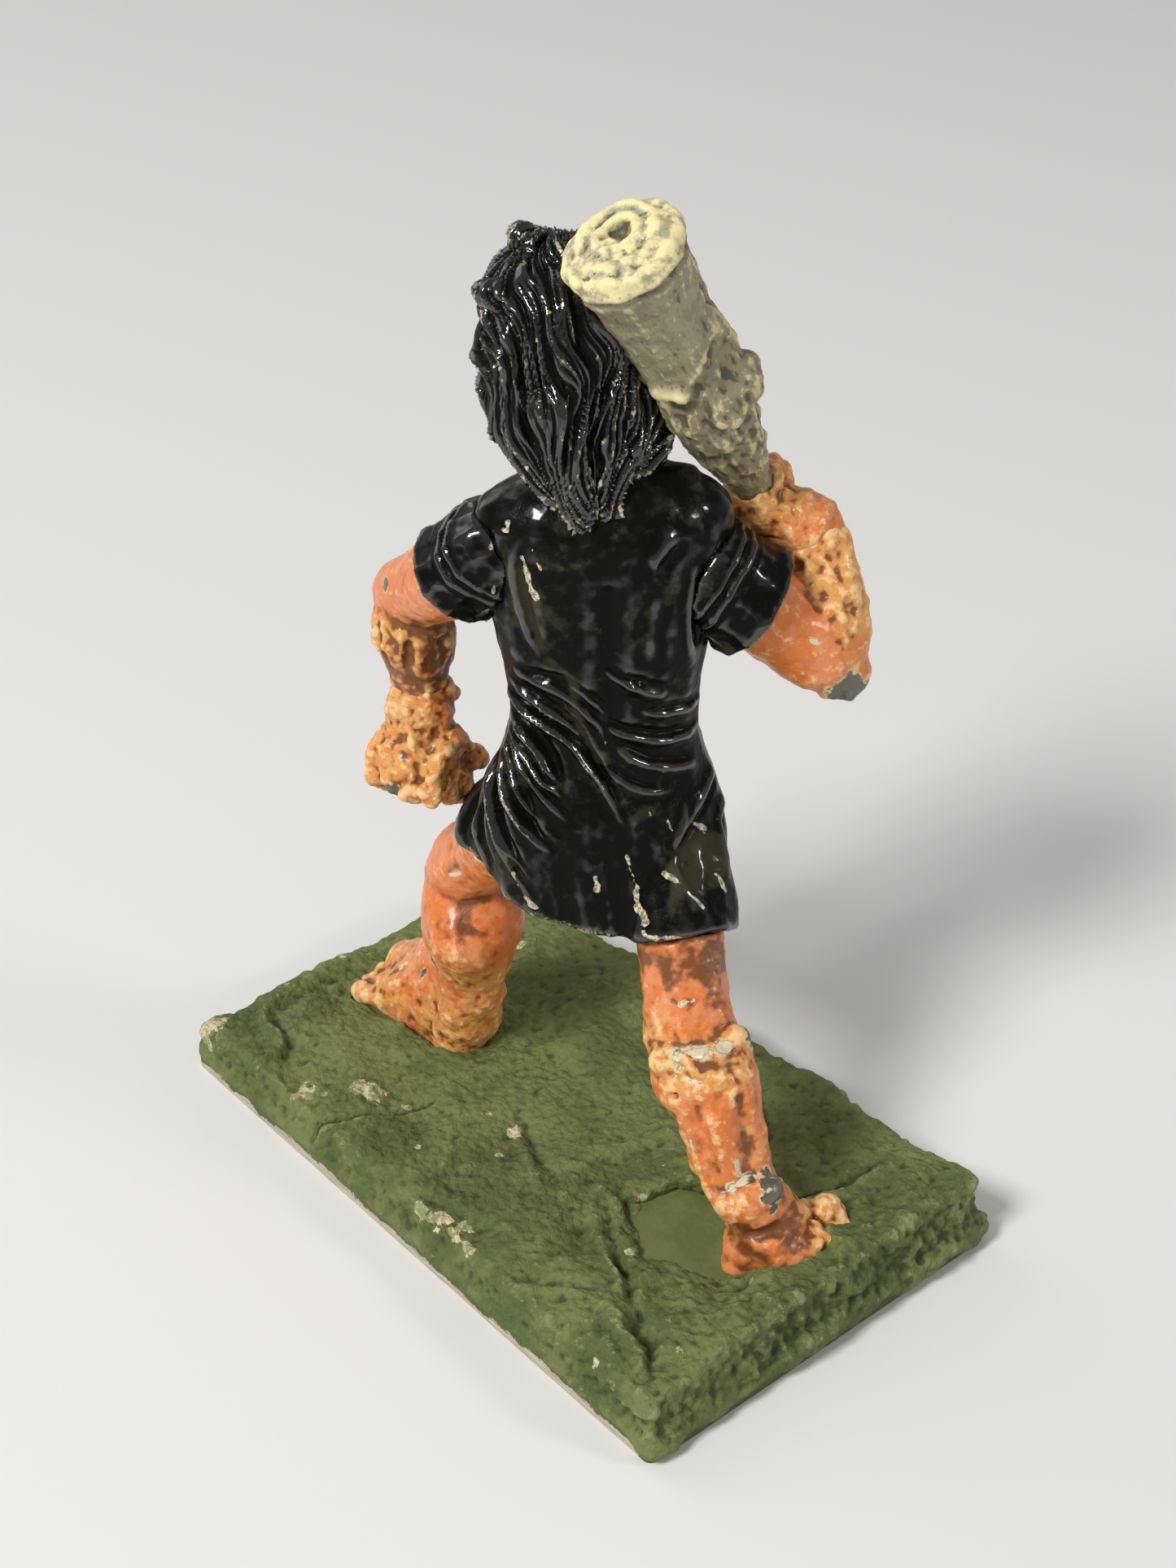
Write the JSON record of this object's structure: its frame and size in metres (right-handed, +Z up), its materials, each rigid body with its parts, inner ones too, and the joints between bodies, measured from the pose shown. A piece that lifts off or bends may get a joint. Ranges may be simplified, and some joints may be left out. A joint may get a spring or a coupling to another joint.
{
  "type": "painted miniature figure",
  "caption": "Small painted metal gaming figure striding with a knotty club over its shoulder, on a rectangular base dressed with green filler.",
  "frame": {"origin": "centre of the underside of the base card", "axes": "+Z up; the figure walks towards -Y; +X is the figure's left"},
  "size_m": [0.0158, 0.025, 0.0346],
  "materials": {
    "card": "off-white cut edge",
    "plate_paint": "smooth dark green paint",
    "ground": "gritty matt green filler",
    "flesh": "thick orange flesh paint with chips",
    "cloth_paint": "glossy black paint",
    "club_paint": "grey-buff paint with a dark wash",
    "hair_paint": "glossy black paint"
  },
  "bodies": {
    "root": {"base_card": "card", "foot_plate": "plate_paint", "ground_filler": "ground", "left_leg": "flesh", "right_leg": "flesh", "tunic": "cloth_paint", "left_sleeve": "cloth_paint", "left_arm": "flesh", "left_hand": "flesh", "right_sleeve": "cloth_paint", "right_arm": "flesh", "right_hand": "flesh", "club": "club_paint", "head": "flesh", "hair": "hair_paint"}
  },
  "joints": []
}
